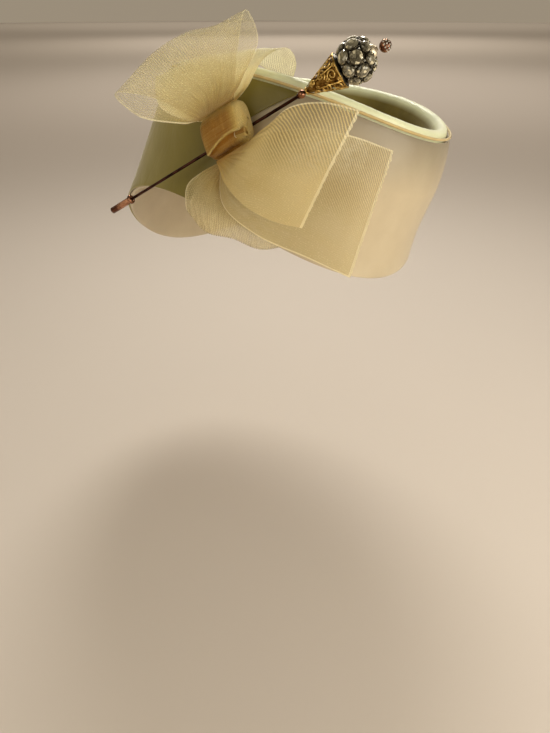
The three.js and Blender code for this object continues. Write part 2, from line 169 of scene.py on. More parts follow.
def addRoom():
    # a soft warm room, dimmer overhead, with a plainer tone where it is seen past the floor
    tree = Tree("softRoom", bpy.data.worlds)
    height = tree.axis(tree.add("TexCoord", output="Generated"), "Z")
    strength = {
        "Value": height,
        "From Min": 0.1,
        "To Min": studio["roomStrength"],
        "To Max": studio["roomStrength"] * studio["overheadShare"],
    }
    light = {"Color": (*studio["roomColour"], 1), "Strength": tree.add("MapRange", strength)}
    room = tree.fill(tree.nodes["Background"], light).outputs[0]
    horizon = tree.add("Background", {"Color": (*studio["horizonColour"], 1)})
    seen = tree.add("LightPath", output="Is Camera Ray")
    both = tree.add("MixShader", {0: seen, 1: room, 2: horizon})
    tree.fill(tree.nodes["World Output"], {"Surface": both})
    bpy.context.scene.world = tree.block
    bpy.context.scene.view_settings.view_transform = "Standard"


def addFloor():
    bm = bmesh.new()
    bmesh.ops.create_grid(bm, x_segments=1, y_segments=1, size=studio["floorSize"])
    bmesh.ops.translate(bm, verts=bm.verts, vec=(0, 0, studio["floorLevel"]))
    tree = Tree("paleFloor")
    tree.surface({"Base Color": (*studio["floorColour"], 1), "Roughness": 0.9, "Specular IOR Level": 0.1})
    addMesh("floor", bm, tree.block)


addCamera()
addRoom()
addFloor()
for lamp in studio["lamps"]:
    addLamp(*lamp)
print("camera and studio are set")

# the hat's form, the same as the frame's solids

hatShape = {
    "forwardLean": 6.4,
    "leftLean": 9.8,
    "centre": (-10.4, -8.3, -68.5),
    "hemLength": 207,
    "hemWidth": 185,
    "rimLength": 184,
    "rimWidth": 173,
    "rimForward": 10.6,
    "rimLeft": 6.2,
    # every eighth of a turn from the front by way of the wearer's left
    "rimHeights": (82.4, 87.2, 93.5, 89.7, 84.4, 85.8, 93.5, 91.1),
    "hemHeights": (1.1, 15.7, 18.4, -21.9, -44.8, -6.6, 25.3, 12.9),
    "frontSwell": 2.0,
    "frontSway": 1.6,
    "backSink": 1.0,
}

leftLean = Matrix.Rotation(radians(hatShape["leftLean"]), 4, "Y")
forwardLean = Matrix.Rotation(radians(hatShape["forwardLean"]), 4, "X")
hatPlace = Matrix.Translation(hatShape["centre"]) @ (leftLean @ forwardLean)


def heightAround(values):
    # a smooth closed curve through the stations, as harmonics of the turn
    count = len(values)
    waves = []
    for order in range(count // 2 + 1):
        cosine = sum(v * cos(tau * i * order / count) for i, v in enumerate(values))
        sine = sum(v * sin(tau * i * order / count) for i, v in enumerate(values))
        share = (1 if order in (0, count // 2) else 2) / count
        waves.append((order, share * cosine, share * sine))

    def height(angle):
        return sum(c * cos(order * angle) + s * sin(order * angle) for order, c, s in waves)

    return height


rimHeight = heightAround(hatShape["rimHeights"])
hemHeight = heightAround(hatShape["hemHeights"])


def rimPoint(angle, inward=0.0, up=0.0):
    forward = hatShape["rimForward"] + (hatShape["rimLength"] / 2 - inward) * cos(angle)
    left = hatShape["rimLeft"] + (hatShape["rimWidth"] / 2 - inward) * sin(angle)
    return Vector((left, -forward, rimHeight(angle) + up))


def hemPoint(angle):
    forward = hatShape["hemLength"] / 2 * cos(angle)
    left = hatShape["hemWidth"] / 2 * sin(angle)
    return Vector((left, -forward, hemHeight(angle)))


def wallPoint(angle, share):
    front = (1 + cos(angle)) / 2
    swell = sin(pi * share)
    sway = sin(tau * share)
    outward = front * (hatShape["frontSwell"] * swell - hatShape["frontSway"] * sway)
    outward -= (1 - front) * hatShape["backSink"] * swell
    point = hemPoint(angle).lerp(rimPoint(angle), share)
    return point + outward * Vector((sin(angle), -cos(angle), 0))


def wallNormal(angle, share):
    step = 0.01
    along = wallPoint(angle + step, share) - wallPoint(angle - step, share)
    up = wallPoint(angle, share + step) - wallPoint(angle, share - step)
    return along.cross(up).normalized()


def smooth(points, at):
    # a centripetal curve through the points, where at runs from 0 to 1
    last = len(points) - 1
    spot = min(max(at, 0), 1) * last
    index = min(int(spot), last - 1)
    weight = spot - index
    b = points[index]
    c = points[index + 1]
    a = points[index - 1] if index > 0 else b * 2 - c
    d = points[index + 2] if index + 2 <= last else c * 2 - b
    ab, bc, cd = (max((q - p).length ** 0.5, 1e-4) for p, q in ((a, b), (b, c), (c, d)))
    leave = ((b - a) / ab - (c - a) / (ab + bc) + (c - b) / bc) * bc
    meet = ((c - b) / bc - (d - b) / (bc + cd) + (d - c) / cd) * bc
    square = weight * weight
    cube = square * weight
    return (
        b * (2 * cube - 3 * square + 1)
        + leave * (cube - 2 * square + weight)
        + c * (3 * square - 2 * cube)
        + meet * (cube - square)
    )


def rumple(x, y, z):
    return noise.noise(Vector((x, y, z)))


def peak(value, at, width):
    return exp(-(((value - at) / width) ** 2))


# turning a grid into a piece


def finishPiece(name, bm, body, material, replaced=()):
    for face in bm.faces:
        face.smooth = True
    piece = addMesh(name, bm, material)
    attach(piece, body)
    if replaced:
        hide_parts(*replaced)
    return piece


def makeCloth(look, place, flat, ringed=False, crowdingAndPaintedLight=None):
    # the cloth's map is in millimetres of the flat cut
    bm = bmesh.new()
    cut = bm.loops.layers.uv.new("cut")
    crowdAndPaintedLight = bm.verts.layers.float.new("crowdAndPaintedLight")
    bmesh.ops.create_grid(bm, x_segments=look["columns"], y_segments=look["rows"], size=0.5)
    for face in bm.faces:
        for loop in face.loops:
            spot = loop.vert.co
            loop[cut].uv = ((spot.x + 0.5) * flat[0], (spot.y + 0.5) * flat[1])
    for vert in bm.verts:
        u = vert.co.x + 0.5
        v = vert.co.y + 0.5
        vert[crowdAndPaintedLight] = crowdingAndPaintedLight(u, v) if crowdingAndPaintedLight else 1
        vert.co = place(u, v) * mm
    if ringed:
        bmesh.ops.remove_doubles(bm, verts=bm.verts, dist=2e-6)
    bmesh.ops.recalc_face_normals(bm, faces=bm.faces)
    return bm


def thicken(piece, thickness, inward=True, edge=0.0):
    solidify = piece.modifiers.new("thickness", "SOLIDIFY")
    solidify.thickness = thickness
    solidify.offset = -1 if inward else 0
    if edge:
        bevel = piece.modifiers.new("softEdge", "BEVEL")
        bevel.width = edge
        bevel.segments = 2
        bevel.limit_method = "ANGLE"
        bevel.angle_limit = radians(50)


# materials

# each satin: its darkest, middle and lightest shade
satinLook = {
    "peach": ((0.51, 0.42, 0.275), (0.54, 0.447, 0.295), (0.57, 0.478, 0.322)),
    "green": ((0.29, 0.24, 0.042), (0.315, 0.262, 0.049), (0.34, 0.286, 0.057)),
    "mint": ((0.72, 0.75, 0.49), (0.79, 0.83, 0.55), (0.85, 0.89, 0.61)),
    # painted shade for the crown's recess
    "paintedRecessShade": ((0.16, 0.122, 0.016), (0.20, 0.155, 0.022), (0.25, 0.20, 0.034)),
    "tan": ((0.46, 0.33, 0.13), (0.55, 0.41, 0.17), (0.63, 0.49, 0.23)),
}


def satin(name, shades, roughness=0.42, wrinkle=0.25, paintedShade=None, paintedShadeSpan=(0, 1), along="Y"):
    tree = Tree(name)
    place = tree.add("TexCoord", output="Object")
    cloud = tree.noise(place, scale=38, detail=5, Roughness=0.55)

    def mottled(shades):
        return tree.ramp(cloud, ((0.34, shades[0]), (0.66, shades[2]), (0.5, shades[1])))

    colour = mottled(shades)
    if paintedShade:
        # painted shade: a darker copy of the satin past this place on the cut
        reached = tree.axis(tree.add("UVMap", uv_map="cut"), along)
        past = tree.add("MapRange", {"Value": reached, "From Min": paintedShadeSpan[0], "From Max": paintedShadeSpan[1]})
        colour = tree.mixed(past, colour, mottled(paintedShade))
    weave = tree.noise(tree.stretched(place, (900, 900, 5200)), scale=1, detail=2)
    folds = tree.noise(place, scale=55, detail=3, Distortion=0.4)
    fine = tree.bump(weave, strength=0.18, distance=0.0001)
    look = {
        "Base Color": colour,
        "Normal": tree.bump(folds, strength=wrinkle, distance=0.0025, Normal=fine),
        "Roughness": tree.times(weave, 0.16, roughness - 0.08),
        "Sheen Weight": 0.35,
        "Sheen Roughness": 0.45,
        "Sheen Tint": (1, 0.95, 0.85, 1),
        "Specular IOR Level": 0.45,
    }
    tree.surface(look)
    return tree.block


netLook = {
    "pale": (0.76, 0.68, 0.42),
    "straw": (0.62, 0.49, 0.20),
    "gold": (0.44, 0.25, 0.045),
    # painted shade between the ribs
    "gap": (0.20, 0.155, 0.06),
    # painted highlight colour for the selvedges, the cut end and the pale patches
    "edge": (0.88, 0.80, 0.54),
    "inFold": (0.72, 0.55, 0.14),
    # from one layer to many
    "shades": ((0.0, "pale"), (1.0, "gold"), (0.4, "straw")),
    "thread": 0.85,
    "slant": 1.3,
    "selvedge": 0.8,
    "cutEdge": 1.4,
    # what the threads, the ribs and the border add to one layer's cover
    "coverBy": (0.24, 0.45, 0.30),
    # how far the crowding, the ribs and the border move the shade: deeper where layers crowd, paler as
    # painted glints on the ribs and a painted highlight on the border
    "deepenBy": (0.28, -0.35, -0.6),
    "bump": (0.45, 0.0003),
    "glow": 0.38,
}


def net(name, width, length, cover, tint, ribs=None, lowEdge=True, wrapped=False):
    tree = Tree(name)
    calc = tree.math
    times = tree.times
    cut = tree.add("UVMap", uv_map="cut")
    u = tree.axis(cut, "X")
    v = tree.axis(cut, "Y")
    crowdAndPaintedLight = tree.add("Attribute", output="Fac", attribute_name="crowdAndPaintedLight")

    def cloud(scale, along=1.0, detail=2):
        return tree.noise(tree.stretched(cut, (scale, scale * along, 1)), 1, detail)

    def eased(value, start, full):
        sockets = {"Value": value, "From Min": start, "From Max": full}
        return tree.add("MapRange", sockets, interpolation_type="SMOOTHSTEP")

    drift = times(cloud(0.11), 2.4, -1.2)

    def threads(slope, period):
        shifted = calc("ADD", times(v, slope, u), drift)
        turns = tau / (period * sqrt(1 + slope * slope))
        return times(calc("SINE", times(shifted, turns)), 0.5, 0.5)

    one = threads(1.0, netLook["thread"])
    other = threads(ribs["slope"], ribs["period"] / 2) if ribs else threads(-1.0, netLook["thread"])
    mesh = calc("MAXIMUM", one, other)

    # gathers toward the knot, painted glints, and ribs where the net is pulled straight
    if wrapped:
        gathers = times(cloud(0.05, 50), 3.4, -1.7)
    else:
        gathers = times(cloud(0.75, 0.035, 3), 2.0, -1.0)
    gathers = times(gathers, eased(crowdAndPaintedLight, 1.1, 2.6))
    # painted glints: small flecks that make the colour paler, the cover thicker and the bump higher
    paintedGlints = eased(cloud(1.5, 0.8, 1), 0.60, 0.70)
    ribbingAndGlints = times(gathers, 0.5, times(paintedGlints, 0.35))
    if ribs:
        rib = calc("SUBTRACT", threads(ribs["slope"], ribs["period"]), 0.5)
        place = times(eased(u, *ribs["across"]), eased(v, *ribs["fadeIn"]))
        place = times(place, eased(v, *ribs["fadeOut"]))
        rib = times(times(rib, ribs["strength"], -ribs["thinner"]), place)
        ribbingAndGlints = calc("ADD", ribbingAndGlints, rib)

    # the selvedges and the cut end, which get a thicker cover and a paler painted highlight
    border = calc("LESS_THAN", u, netLook["selvedge"])
    if lowEdge:
        border = calc("MAXIMUM", border, calc("GREATER_THAN", u, width - netLook["selvedge"]))
    border = calc("MAXIMUM", border, calc("GREATER_THAN", v, length - netLook["cutEdge"]))

    # cover of one layer, then of as many layers as are crowded together
    layer = cover - 0.15
    for part, share in zip((mesh, ribbingAndGlints, border), netLook["coverBy"]):
        layer = times(part, share, layer)
    layer = calc("MINIMUM", calc("MAXIMUM", layer, 0.05), 0.96)
    layers = times(crowdAndPaintedLight, netLook["slant"])
    solid = calc("SUBTRACT", 1.0, calc("POWER", calc("SUBTRACT", 1.0, layer), layers))

    def tinted(shade, by):
        return tuple(c * t for c, t in zip(shade, by))

    stops = [(place, tinted(netLook[shade], tint)) for place, shade in netLook["shades"]]
    if wrapped:
        stops[1] = (1.0, tinted(stops[1][1], netLook["inFold"]))
    density = -0.15
    for part, share in zip((crowdAndPaintedLight, ribbingAndGlints, border), netLook["deepenBy"]):
        density = times(part, share, density)
    density = times(cloud(0.05), 0.3, calc("SUBTRACT", density, 0.15))
    colour = tree.ramp(density, stops)
    # painted highlight on the selvedges and the cut end
    paintedHighlight = times(border, 0.7)
    if ribs:
        # painted shade: a dark colour in the gaps between the ribs
        gaps = calc("MINIMUM", times(rib, -ribs["gaps"]), 0.8)
        colour = tree.mixed(gaps, colour, (*netLook["gap"], 1))
        for patch in ribs["pale"]:
            # painted highlight: paler patches where the pulled threads lie flat and catch light
            ends = {0: cut, 1: (*patch["at"], 0)}
            apart = tree.add("VectorMath", ends, "Value", operation="DISTANCE")
            streaks = times(cloud(0.5, 0.35, 4), 2.0, -0.4)
            near = times(eased(apart, patch["reach"], 0), streaks)
            paintedHighlight = times(near, patch["strength"], paintedHighlight)
    paintedHighlight = calc("MAXIMUM", calc("MINIMUM", paintedHighlight, 0.9), 0.0)
    colour = tree.mixed(paintedHighlight, colour, (*netLook["edge"], 1))
    relief = times(ribbingAndGlints, 1.6, mesh)
    look = {
        "Base Color": colour,
        "Roughness": 0.42,
        "Sheen Weight": 0.15 if wrapped else 0.3,
        "Specular IOR Level": 0.3 if wrapped else 0.5,
        "Normal": tree.bump(relief, *netLook["bump"]),
    }
    surface = tree.surface(look)
    glow = tree.add("BsdfTranslucent", {"Color": colour})
    lit = tree.add("MixShader", {0: netLook["glow"], 1: surface, 2: glow})
    shown = tree.add("MixShader", {0: solid, 1: tree.add("BsdfTransparent"), 2: lit})
    tree.fill(tree.nodes["Material Output"], {"Surface": shown})
    return tree.block


def metal(name, dark, bright, roughness, wear=180):
    tree = Tree(name)
    cloud = tree.noise(tree.add("TexCoord", output="Object"), scale=wear, detail=4)
    look = {
        "Base Color": tree.ramp(cloud, ((0.38, dark), (0.62, bright))),
        "Roughness": tree.times(cloud, 0.3, roughness - 0.15),
        "Metallic": 1,
        "Normal": tree.bump(cloud, strength=0.25, distance=0.0002),
    }
    tree.surface(look)
    return tree.block


def foiledGlass(name, dark, bright, scale):
    tree = Tree(name)
    place = tree.add("TexCoord", output="Object")
    facets = tree.add("TexVoronoi", {"Vector": place, "Scale": scale}, "Color")
    # painted reflections and highlights: the colour is lighter toward each stone's rim, on random facets
    # and, brightest, on a few facets as painted glints
    edge = tree.add("LayerWeight", {"Blend": 0.45}, "Facing")
    light = tree.times(edge, 0.75, 0.0)
    light = tree.times(tree.axis(facets, "X"), 0.5, light)
    paintedGlint = tree.math("GREATER_THAN", tree.axis(facets, "Y"), 0.86)
    light = tree.times(paintedGlint, 0.5, light)
    middle = tuple(0.72 * d + 0.28 * b for d, b in zip(dark, bright))
    look = {
        "Base Color": tree.ramp(light, ((0.15, dark), (1.0, bright), (0.62, middle))),
        "Metallic": 0.35,
        "Roughness": 0.10,
        "Coat Weight": 1,
        "Coat Roughness": 0.02,
    }
    tree.surface(look)
    return tree.block


# painted shade: the peach is darker toward the rim seam, and the green toward the front seam, where the bow
# shades it
peachPaintedShade = [tuple(0.48 * c for c in colour) for colour in satinLook["peach"]]
greenPaintedShade = [(0.42 * r, 0.40 * g, 0.20 * b) for r, g, b in satinLook["green"]]
peachSatin = satin("peachSatin", satinLook["peach"], wrinkle=0.22, paintedShade=peachPaintedShade, paintedShadeSpan=(66, 104))
greenPaintedShadeArgs = {"paintedShade": greenPaintedShade, "paintedShadeSpan": (186, 240), "along": "X"}
greenSatin = satin("greenSatin", satinLook["green"], wrinkle=0.3, **greenPaintedShadeArgs)
# painted shade: the mint turns olive down the wall of the crown's recess
mintSatin = satin("mintSatin", satinLook["mint"], wrinkle=0.3, paintedShade=satinLook["paintedRecessShade"], paintedShadeSpan=(49, 56))
tanSatin = satin("tanSatin", satinLook["tan"], roughness=0.5, wrinkle=0.15)
shaftMetal = metal("shaftMetal", (0.012, 0.005, 0.004), (0.07, 0.026, 0.018), 0.32)
giltMetal = metal("giltMetal", (0.38, 0.22, 0.045), (0.90, 0.64, 0.22), 0.30, 420)
capMetal = metal("capMetal", (0.78, 0.66, 0.44), (0.95, 0.87, 0.68), 0.5, 300)
copperMetal = metal("copperMetal", (0.13, 0.05, 0.028), (0.52, 0.26, 0.15), 0.26)
settingMetal = metal("settingMetal", (0.016, 0.014, 0.010), (0.12, 0.10, 0.065), 0.34, 700)
liningMetal = metal("liningMetal", (0.09, 0.04, 0.008), (0.36, 0.20, 0.045), 0.36, 420)
smokyStone = foiledGlass("smokyStone", (0.03, 0.024, 0.008), (0.86, 0.78, 0.54), 700)
whiteStone = foiledGlass("whiteStone", (0.40, 0.38, 0.31), (0.92, 0.91, 0.84), 1600)
print("materials are made")

# side band, side panel, piping and crown

bandLook = {"columns": 180, "rows": 26, "belowRim": 1.7, "thickness": 0.0016, "wobble": 0.25}
panelLook = {
    "columns": 130,
    "rows": 28,
    "out": 1.05,
    "sag": 0.35,
    "thickness": 0.0009,
    "leftSeam": 140,
    # at the hem, halfway up and at the rim
    "frontSeam": (293, 286, 304),
}


def onWall(angle, v, lift):
    # a place on the wall, where v runs from the hem to the seam under the rim
    share = v * (1 - bandLook["belowRim"] / (rimHeight(angle) - hemHeight(angle)))
    point = wallPoint(angle, share)
    return hatPlace @ (point + wallNormal(angle, share) * lift(point))


def makeSideBand():
    def place(u, v):
        def wobble(point):
            return bandLook["wobble"] * noise.noise(point * 0.035) * sin(pi * v)

        return onWall(tau * u, v, wobble)

    bm = makeCloth(bandLook, place, (610, 105), ringed=True)
    piece = finishPiece("sideBand", bm, "hat", peachSatin, ("side_band",))
    thicken(piece, bandLook["thickness"], edge=0.0005)


def seamAngle(share):
    hem, middle, rim = panelLook["frontSeam"]
    bend = 2 * (hem + rim - 2 * middle)
    return hem + (rim - hem - bend) * share + bend * share * share


def makeSidePanel():
    def place(u, v):
        def drape(point):
            sag = noise.noise(point * 0.03 + Vector((7, 0, 0))) * sin(pi * v)
            return panelLook["out"] + panelLook["sag"] * sag

        angle = radians(panelLook["leftSeam"] + (seamAngle(v) - panelLook["leftSeam"]) * u)
        return onWall(angle, v, drape)

    bm = makeCloth(panelLook, place, (250, 105))
    piece = finishPiece("sidePanel", bm, "hat", greenSatin, ("side_panel",))
    thicken(piece, panelLook["thickness"], inward=False, edge=0.0004)


pipingLook = {"radius": 0.8, "inward": 0.15, "columns": 260, "rows": 12, "twist": 0.05}


def makeRimPiping():
    def place(u, v):
        angle = tau * u
        turn = tau * v
        radius = pipingLook["radius"] + pipingLook["twist"] * sin(420 * angle + 2 * turn)
        inward = pipingLook["inward"] + radius * cos(turn)
        return hatPlace @ rimPoint(angle, inward, radius * sin(turn))

    bm = makeCloth(pipingLook, place, (570, 7.2), ringed=True)
    finishPiece("rimPiping", bm, "hat", tanSatin, ("rim_piping",))


crownLook = {
    "columns": 200,
    "rows": 44,
    "thickness": 0.0015,
    "floorHeight": 69.5,
    "pucker": 0.16,
    # inward from the rim and up from it, up the outside and over the roll
    "roll": ((2.5, -3.5), (2.5, 0.4), (3.3, 2.8), (5.4, 4.0), (7.8, 3.4)),
    "innerWall": ((9.6, 0.8), (10.8, -6.0), (12.0, -15.0)),
    "floorRings": (0.84, 0.55, 0.25, 0.0),
}


def makeCrown():
    centre = Vector((hatShape["rimLeft"], -hatShape["rimForward"], crownLook["floorHeight"]))
    profiles = {}

    def profile(u):
        if u not in profiles:
            angle = tau * u
            section = crownLook["roll"] + crownLook["innerWall"]
            points = [rimPoint(angle, inward, up) for inward, up in section]
            edge = rimPoint(angle, section[-1][0])
            edge.z = crownLook["floorHeight"]
            points += [centre.lerp(edge, size) for size in crownLook["floorRings"]]
            profiles[u] = points
        return profiles[u]

    def place(u, v):
        angle = tau * u
        point = smooth(profile(u), v)
        onRoll = peak(v, 0.36, 0.16)
        tug = rumple(cos(angle) * 9, sin(angle) * 9, v * 2.0)
        tuck = rumple(cos(angle) * 26, sin(angle) * 26, v * 3.0 + 5)
        lift = onRoll * crownLook["pucker"] * (1.6 * tug + 1.0 * tuck)
        return hatPlace @ (point + Vector((0, 0, lift)))

    bm = makeCloth(crownLook, place, (500, 110), ringed=True)
    piece = finishPiece("crownTop", bm, "hat", mintSatin, ("crown",))
    thicken(piece, crownLook["thickness"])


makeSideBand()
makeSidePanel()
makeRimPiping()
makeCrown()
print("hat body is made")

# the bow

pinPoint = Vector((-86.6, -51.9, 3.2))
pinRun = Vector((0.424, -0.753, 0.503)).normalized()
outFromHat = Vector((-0.901, -0.409, 0.147)).normalized()
downKnot = pinRun.cross(outFromHat).normalized()

knotLook = {
    "along": 4.4,
    "outward": 5.7,
    "down": -2.8,
    "halfWidth": 13,
    "halfDepth": 8.2,
    "halfLength": 10.2,
    "footReach": 11,
    "footGap": 0.4,
}
knotCentre = pinPoint + pinRun * knotLook["along"] + outFromHat * knotLook["outward"]
knotCentre += downKnot * knotLook["down"]


def byKnot(across, outward, down):
    return knotCentre + pinRun * across + outFromHat * outward + downKnot * down


# each loop: five sections from the wearer's back to the front, run from the knot and back
upperLoop = {
    "columns": 300,
    "rows": 70,
    "width": 78,
    "length": 89,
    "outward": 5.0,
    "returnOutward": 1.0,
    "side": -1,
    "ribs": 74,
    "ribDepth": 0.15,
    "rise": ((-114, -47, 14), (-109, -56, 23), (-104, -64, 32), (-97, -70, 33), (-91, -70, 35)),
    "shoulder": ((-131, -40, 18), (-122, -52, 31), (-110, -62, 43), (-97, -72, 46), (-88, -77, 50)),
    "fold": ((-135, -28, 27), (-124, -40, 42), (-111, -52, 52), (-100, -63, 56), (-89, -71, 61)),
    "back": ((-119, -34, 25), (-111, -41, 31), (-100, -49, 40), (-91, -56, 42), (-86, -62, 48)),
}
backLoop = {
    "columns": 224,
    "rows": 60,
    "width": 66,
    "length": 54,
    "outward": -2.5,
    "returnOutward": None,
    "side": -1,
    "ribs": 56,
    "ribDepth": 0.10,
    "rise": ((-101.6, -37, 13.4), (-95, -46, 23), (-87, -52, 26), (-81, -57, 27), (-78, -59, 28)),
    "shoulder": ((-112, -31, 20), (-100, -42, 31), (-88, -52, 35), (-79, -61, 37), (-73, -65, 40)),
    "fold": ((-109, -26, 32), (-96, -37, 39), (-83, -48, 42), (-70, -60, 45), (-61, -70, 45)),
    "over": ((-101, -23, 33), (-87, -34, 41), (-71, -43, 42), (-58, -56, 42), (-51, -68, 38)),
    "end": ((-93, -20, 32), (-82, -34, 39), (-62, -40, 40), (-53, -50, 34), (-50, -64, 28)),
}
lowerLoop = {
    "columns": 190,
    "rows": 64,
    "width": 62,
    "length": 96,
    "outward": -4.0,
    "returnOutward": -6.6,
    "side": 1,
    "ribs": 46,
    "ribDepth": 0.17,
    "rise": ((-98, -42, -13), (-98, -51, -18), (-94, -58, -20), (-91, -65, -19), (-87, -70, -18)),
    "shoulder": ((-104, -37, -20), (-104, -51, -31), (-97, -63, -35), (-90, -74, -38), (-84, -83, -37)),
    "fold": ((-106, -38, -33), (-104, -52, -42), (-96, -64, -45), (-90, -77, -49), (-82, -85, -48)),
    "back": ((-99, -35, -27), (-98, -48, -32), (-93, -59, -33), (-87, -69, -35), (-82, -77, -36)),
}
stages = ("rise", "shoulder", "fold", "over", "back", "end")

# each tail: from the knot to the cut end, by its upper and its lower edge
tailFront = {
    "columns": 90,
    "rows": 90,
    "width": 60,
    "length": 61,
    "outward": 4.0,
    "belly": 2.0,
    # across, outward and down from the knot's middle
    "start": ((2.0, 7.0, 10.9), (13.0, 7.6, 10.6)),
    "upper": ((-87, -82, 14), (-80, -90, 22), (-69, -102, 24), (-55, -113, 20)),
    "lower": ((-100, -63, -14), (-98, -75, -24), (-91, -88, -31), (-80, -99, -35)),
}
tailUnder = {
    "columns": 90,
    "rows": 110,
    "width": 70,
    "length": 88,
    "outward": -0.5,
    "belly": 2.0,
    "start": ((11.0, -0.5, 10.6),),
    "upper": ((-82, -82, 10), (-71, -95, 12), (-55, -110, 8), (-36, -122, 0)),
    "lower": ((-100, -61, -26), (-93, -78, -40), (-76, -98, -52), (-55, -114, -66)),
}


def loopRuns(loop):
    runs = []
    down = loop["side"] * (knotLook["halfLength"] + knotLook["footGap"])
    for index in range(5):
        across = knotLook["footReach"] * (index / 2 - 1)
        run = [byKnot(across, loop["outward"], down)]
        run += [Vector(loop[stage][index]) for stage in stages if stage in loop]
        if loop["returnOutward"] is not None:
            run.append(byKnot(across, loop["returnOutward"], down))
        runs.append(run)
    return runs


def tailRuns(tail):
    down = knotLook["halfLength"] + knotLook["footGap"]
    reach = knotLook["footReach"]
    upper = [byKnot(*place) for place in tail["start"]] + [Vector(p) for p in tail["upper"]]
    lower = [byKnot(-reach, tail["outward"], down)] + [Vector(p) for p in tail["lower"]]
    if len(upper) > len(lower):
        lower.insert(1, lower[0].lerp(lower[1], 0.5))
    first = len(upper) - len(tail["upper"])
    runs = []
    for share in (0, 0.25, 0.5, 0.75, 1):
        belly = tail["belly"] * sin(pi * share)
        pairs = enumerate(zip(upper, lower))
        runs.append([a.lerp(b, share) + outFromHat * (belly if i >= first else 0) for i, (a, b) in pairs])
    return runs


def evenSteps(runs, steps=60):
    # turns a share of the cloth's length into a place along its runs
    reached = [0]
    for step in range(1, steps + 1):
        parts = [(smooth(run, step / steps) - smooth(run, (step - 1) / steps)).length for run in runs]
        reached.append(reached[-1] + sum(parts) / len(parts))

    def placeAt(share):
        wanted = share * reached[-1]
        step = 1
        while step < steps and reached[step] < wanted:
            step += 1
        part = (wanted - reached[step - 1]) / (reached[step] - reached[step - 1])
        return (step - 1 + part) / steps

    return placeAt, reached[-1]


def netSurface(name, runs, width):
    placeAt, length = evenSteps(runs)
    print(name, "runs", round(length, 1), "mm from the knot")
    rows = {}

    def acrossRow(v):
        if v not in rows:
            along = placeAt(v)
            rows[v] = [smooth(run, along) for run in runs]
        return rows[v]

    def place(u, v):
        return smooth(acrossRow(v), u)

    def crowdingAndPaintedLight(u, v):
        row = acrossRow(v)
        span = sum((b - a).length for a, b in zip(row, row[1:]))
        return min(max(width / span, 0.9), 4.5)

    return place, crowdingAndPaintedLight


ruffleDepth = {"loopPleat": 0.62, "loopFlutter": 0.8, "tailFlutter": 0.6, "tailCurl": 0.5}


def ruffle(bm, depthAt):
    # moves each point along its normal by a depth read from its place on the cut
    cut = bm.loops.layers.uv["cut"]
    crowdAndPaintedLight = bm.verts.layers.float["crowdAndPaintedLight"]
    bm.normal_update()
    moves = []
    for vert in bm.verts:
        spot = vert.link_loops[0][cut].uv
        moves.append((vert, vert.normal.copy(), depthAt(spot.x, spot.y, vert[crowdAndPaintedLight])))
    for vert, normal, depth in moves:
        vert.co += normal * depth * mm


def finishNet(name, node, look, place, crowdingAndPaintedLight, depthAt, material):
    bm = makeCloth(look, place, (look["width"], look["length"]), crowdingAndPaintedLight=crowdingAndPaintedLight)
    ruffle(bm, depthAt)
    return finishPiece(name, bm, "hat", material, (node,))


def makeLoop(name, node, loop, material):
    place, crowdingAndPaintedLight = netSurface(name, loopRuns(loop), loop["width"])

    def depthAt(x, y, crowded):
        along = y / loop["length"]
        foot = min(along, 1 - along) if loop["returnOutward"] is not None else along
        full = min(1, foot * 9)
        rib = sin(tau * loop["ribs"] * x / loop["width"])
        pleat = rumple(x * 0.9, y * 0.02, 3.1) * min(1.4, crowded - 0.85)
        flutter = rumple(x * 0.05, y * 0.03, 9.0)
        soft = ruffleDepth["loopPleat"] * pleat + ruffleDepth["loopFlutter"] * flutter
        return full * (loop["ribDepth"] * rib + soft)

    piece = finishNet(name, node, loop, place, crowdingAndPaintedLight, depthAt, material)


def makeTail(name, node, tail, material):
    spread, crowdingAndPaintedLight = netSurface(name, tailRuns(tail), tail["width"])

    def place(u, v):
        point = spread(u, v)
        if v > 0.985:
            run = (point - spread(u, 0.97)).normalized()
            point += run * 0.55 * rumple(u * tail["width"] * 0.55, 0.3, 6.0)
        return point

    def depthAt(x, y, crowded):
        along = y / tail["length"]
        full = min(1, along * 5)
        pleat = rumple(x * 0.35, y * 0.012, 1.7) * min(1.5, crowded - 0.85)
        flutter = rumple(x * 0.045, y * 0.05, 4.0) * min(1, 3 * along)
        curl = sin(pi * x / tail["width"]) - 0.6
        calm = 1 - 0.75 * min(1, along * 1.6)
        soft = pleat * calm + ruffleDepth["tailFlutter"] * flutter
        return full * (soft + ruffleDepth["tailCurl"] * curl * along)

    piece = finishNet(name, node, tail, place, crowdingAndPaintedLight, depthAt, material)


bandWrap = {
    "columns": 180,
    "rows": 120,
    "width": 30,
    "length": 62,
    "ribs": 24,
    "grooveDepth": 0.07,
    "squareness": 0.62,
    "slant": 2.0,
    # the wrapped end's edge arches across the front
    "edgeTop": 0.32,
    "edgePeak": 0.35,
    "edgeFall": (0.30, 0.78),
    "step": 1.5,
    "roll": 0.6,
    "thickness": 0.0006,
}


def bandEdge(across, down):
    # how far a place is below the wrapped end's edge, as a share of half the knot
    past = across - bandWrap["edgePeak"]
    return down - bandWrap["edgeTop"] - bandWrap["edgeFall"][past > 0] * past * past


